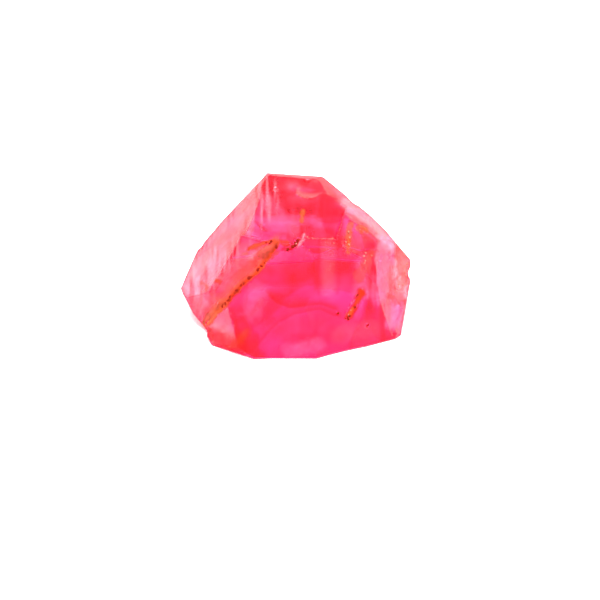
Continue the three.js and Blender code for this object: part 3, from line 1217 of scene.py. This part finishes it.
ORANGE = (0.31, 0.042, 0.011)
OCHRE = (0.31, 0.07, 0.028)
EMBER = (0.31, 0.021, 0.006)
GOLD = (0.32, 0.086, 0.024)
SALMON = (0.33, 0.06, 0.048)
RED = (0.3, 0.012, 0.016)
RUSTS = [
    Stain([(-2.7, 1.65), (-2.25, 2.15), (-1.23, 3.16), (-0.65, 3.95)], 0.2, 0.14, 0.9, ORANGE, 0.3),
    Stain([(-2.3, 2.1), (-1.23, 3.16), (-0.72, 3.84)], 0.07, 0.07, 0.9, EMBER, 0.4),
    Stain([(-1.3, 3.04), (-0.95, 3.4), (-0.62, 3.7)], 0.08, 0.12, 0.6, ORANGE, 0.5),
    Stain([(-2.9, 1.6), (-2.25, 2.25), (-1.25, 3.3), (-0.7, 4.0)], 0.5, 0.08, 0.65, SALMON, 0.5),
    Stain([(-3.1, 1.2), (-2.8, 1.55), (-2.5, 1.9)], 0.3, 0.2, 0.9, OCHRE, 0.45),
    Stain([(-1.2, 3.65), (-0.95, 3.85), (-0.68, 4.0)], 0.15, 0.12, 0.55, OCHRE, 0.8),
    Stain([(-1.6, 3.82), (-1.1, 4.0), (-0.75, 4.06)], 0.11, 0.14, 0.85, ORANGE, 0.4),
    Stain([(-1.05, 3.98), (-0.88, 4.05), (-0.7, 4.0)], 0.09, 0.08, 0.95, EMBER, 0.5),
    Stain([(-0.8, 4.08), (-0.3, 4.0)], 0.11, 0.12, 0.7, ORANGE, 0.7),
    Stain([(-0.38, 3.76), (-0.05, 3.92), (0.14, 4.16)], 0.15, 0.12, 0.75, RED, 0.5),
    Stain([(1.82, 1.5), (1.97, 1.78), (2.12, 2.08), (2.24, 2.32)], 0.19, 0.19, 0.97, EMBER, 0.4),
    Stain([(1.84, 1.56), (1.93, 1.76)], 0.1, 0.09, 0.7, GOLD, 0.6),
    Stain([(0.2, 4.7), (0.2, 4.95), (0.25, 5.1)], 0.11, 0.11, 0.65, GOLD, 1.2),
    Stain([(1.74, 3.72), (1.8, 4.2), (1.9, 4.65)], 0.14, 0.14, 0.7, GOLD, 1.2),
    Stain([(2.18, 4.53), (2.4, 4.45)], 0.14, 0.14, 0.65, GOLD, 1.2),
    Stain([(2.5, 4.3), (2.75, 4.1)], 0.14, 0.14, 0.3, SALMON, 1.2),
    Stain([(2.2, 2.85), (2.4, 3.2), (2.6, 3.7)], 0.24, 0.24, 0.35, OCHRE, 1.3),
    Stain([(3.5, 2.2), (3.75, 2.9), (3.65, 3.7)], 0.4, 0.4, 0.4, OCHRE, 1.4),
    Stain([(-2.74, 2.72), (-2.64, 2.68)], 0.11, 0.11, 0.55, ORANGE, 0.9),
    Stain([(-3.25, 2.6), (-3.1, 2.5)], 0.13, 0.13, 0.35, OCHRE, 1.0),
    Stain([(-1.85, 3.6), (-1.7, 3.64)], 0.11, 0.11, 0.45, OCHRE, 0.8),
    Stain([(-2.3, 0.4), (-1.95, 0.62), (-1.7, 0.95)], 0.2, 0.2, 0.35, ORANGE, 1.1),
    Stain([(-2.9, 0.85), (-2.4, 0.55), (-1.9, 0.35)], 0.4, 0.35, 0.5, RED, 0.5),
    Stain([(1.15, 4.5), (1.3, 5.5)], 0.3, 0.28, 0.25, RED, 0.4),
]

LILAC = (0.8, 0.42, 0.85)
CHALK = (0.85, 0.75, 0.85)
ROSE = (0.85, 0.5, 0.6)
VEILS = [
    Stain([(-1.0, 5.25), (-0.6, 4.7), (-0.2, 4.5)], 0.7, 0.5, 0.055, LILAC, 0.5, 0.3),
    Stain([(-3.4, 3.1), (-2.4, 4.4), (-1.5, 5.6)], 0.9, 0.9, 0.08, CHALK, 0.2, 0.9),
    Stain([(-3.4, 2.4), (-2.7, 3.3)], 0.6, 0.5, 0.06, LILAC, 0.3, 0.9),
    Stain([(0.0, 3.95), (0.26, 4.24)], 0.13, 0.13, 0.25, ROSE, 0.7),
    Stain([(-2.5, 2.7), (-1.6, 3.7)], 0.5, 0.5, 0.08, ROSE, 0.6),
    Stain([(-1.5, 3.5), (-1.2, 3.7)], 0.22, 0.16, 0.12, CHALK, 0.5),
    Stain([(-1.5, 1.75), (-1.35, 2.3)], 0.5, 0.5, 0.06, LILAC, 0.5),
    Stain([(-0.2, 0.3), (0.75, 0.5)], 0.35, 0.35, 0.06, LILAC, 0.5),
    Stain([(2.75, 2.3), (2.95, 3.2), (3.1, 4.0)], 0.4, 0.5, 0.1, LILAC, 0.6, 0.5),
    Stain([(2.2, 2.3), (2.3, 3.3)], 0.4, 0.4, 0.07, LILAC, 0.6),
    Stain([(3.3, 1.2), (3.5, 2.2)], 0.35, 0.35, 0.15, LILAC, 0.4, 0.3),
    Stain([(3.6, 2.3), (3.7, 3.4)], 0.4, 0.4, 0.2, CHALK, 0.9),
    Stain([(1.75, 5.4), (2.6, 4.7), (3.3, 3.9)], 0.27, 0.27, 0.14, CHALK, 0.5),
    Stain([(-2.75, 1.15), (-2.45, 1.0)], 0.3, 0.3, 0.06, CHALK, 0.5),
    Stain([(-3.35, 2.0), (-3.15, 1.7), (-2.9, 1.95)], 0.5, 0.4, 0.12, ROSE, 0.3, 0.2),
    Stain([(1.1, 2.4), (1.1, 3.9)], 0.35, 0.35, 0.045, ROSE, 0.3),
    Stain([(1.5, 0.85), (2.6, 1.1)], 0.45, 0.45, 0.022, ROSE, 0.4),
    Stain([(2.0, 3.85), (2.5, 4.4)], 0.4, 0.4, 0.034, ROSE, 0.5),
    Stain([(-3.5, 2.9), (-2.9, 3.6)], 0.4, 0.35, 0.05, CHALK, 0.3, 0.3),
]

IRON_SEAMS = [
    Seam([(-2.55, 1.8), (-2.25, 2.15), (-1.23, 3.16), (-0.7, 3.86)], 0.19, 0.095, 0.03, 1, 0.02),
    Seam([(-2.65, 1.7), (-2.25, 2.15), (-1.23, 3.16), (-1.05, 3.4)], 0.08, 0.045, 0.045, 2, 0.01),
    Seam([(-0.3, 3.78), (-0.1, 3.88), (0.1, 4.12)], 0.07, 0.09, 0.08, 3, 0.01),
    Seam([(2.02, 1.78), (2.05, 1.83)], 0.04, 0.075, 0.015, 4, -0.02),
    Seam([(2.1, 2.18), (2.15, 2.26)], 0.04, 0.07, 0.02, 14, -0.02),
    Seam([(1.7, 1.4), (1.76, 1.36), (1.84, 1.5)], 0.07, 0.08, 0.03, 5, 0.0),
    Seam([(1.42, 1.57), (1.45, 1.62)], 0.04, 0.07, 0.02, 6, 0.0),
    Seam([(2.46, 1.16), (2.49, 1.18)], 0.03, 0.065, 0.01, 7, 0.0),
    Seam([(-1.0, 3.98), (-0.84, 4.03)], 0.06, 0.07, 0.03, 8, -0.02),
    Seam([(1.78, 3.9), (1.85, 4.5)], 0.16, 0.055, 0.05, 9, 0.0),
]

PALE_SEAMS = [
    Seam([(0.0, 3.95), (0.26, 4.22)], 0.07, 0.042, 0.1, 21, 0.0),
    Seam([(1.76, 1.5), (1.88, 1.68)], 0.06, 0.045, 0.04, 22, -0.01),
    Seam([(1.72, 3.7), (1.78, 4.0), (1.8, 4.4)], 0.08, 0.055, 0.1, 23, -0.018),
    Seam([(0.45, 4.18), (1.4, 4.02)], 0.2, 0.035, 0.11, 26, -0.01),
    Seam([(2.1, 4.5), (2.45, 4.4)], 0.11, 0.045, 0.08, 27, -0.018),
    Seam([(3.5, 2.5), (3.8, 3.0), (3.72, 3.5)], 0.08, 0.055, 0.14, 24, -0.01),
    Seam([(2.3, 3.05), (2.5, 3.6)], 0.08, 0.05, 0.14, 25, -0.018),
]


def main() -> None:
    """Builds the stage, the stone and what lies on it."""
    logging.basicConfig(level=logging.INFO, format="%(name)s: %(message)s")
    Studio().build()
    front = Crystal().build()
    Sheet("silk_veils", VEILS, SILK_VEIL, Slot.STONE, gap=0.004, seed=30).build(front)
    Sheet("iron_stains", RUSTS, RUST_FILM, Slot.IRON, gap=0.009, seed=40).build(front)
    tree = GrainTree("grains_on_a_line")
    Grains("iron_grains", IRON_SEAMS, IRON_GRAIN, Slot.IRON).build(tree, front)
    Grains("pale_chips", PALE_SEAMS, PALE_CHIP, Slot.STONE).build(tree, front)


if __name__ == "__main__":
    main()
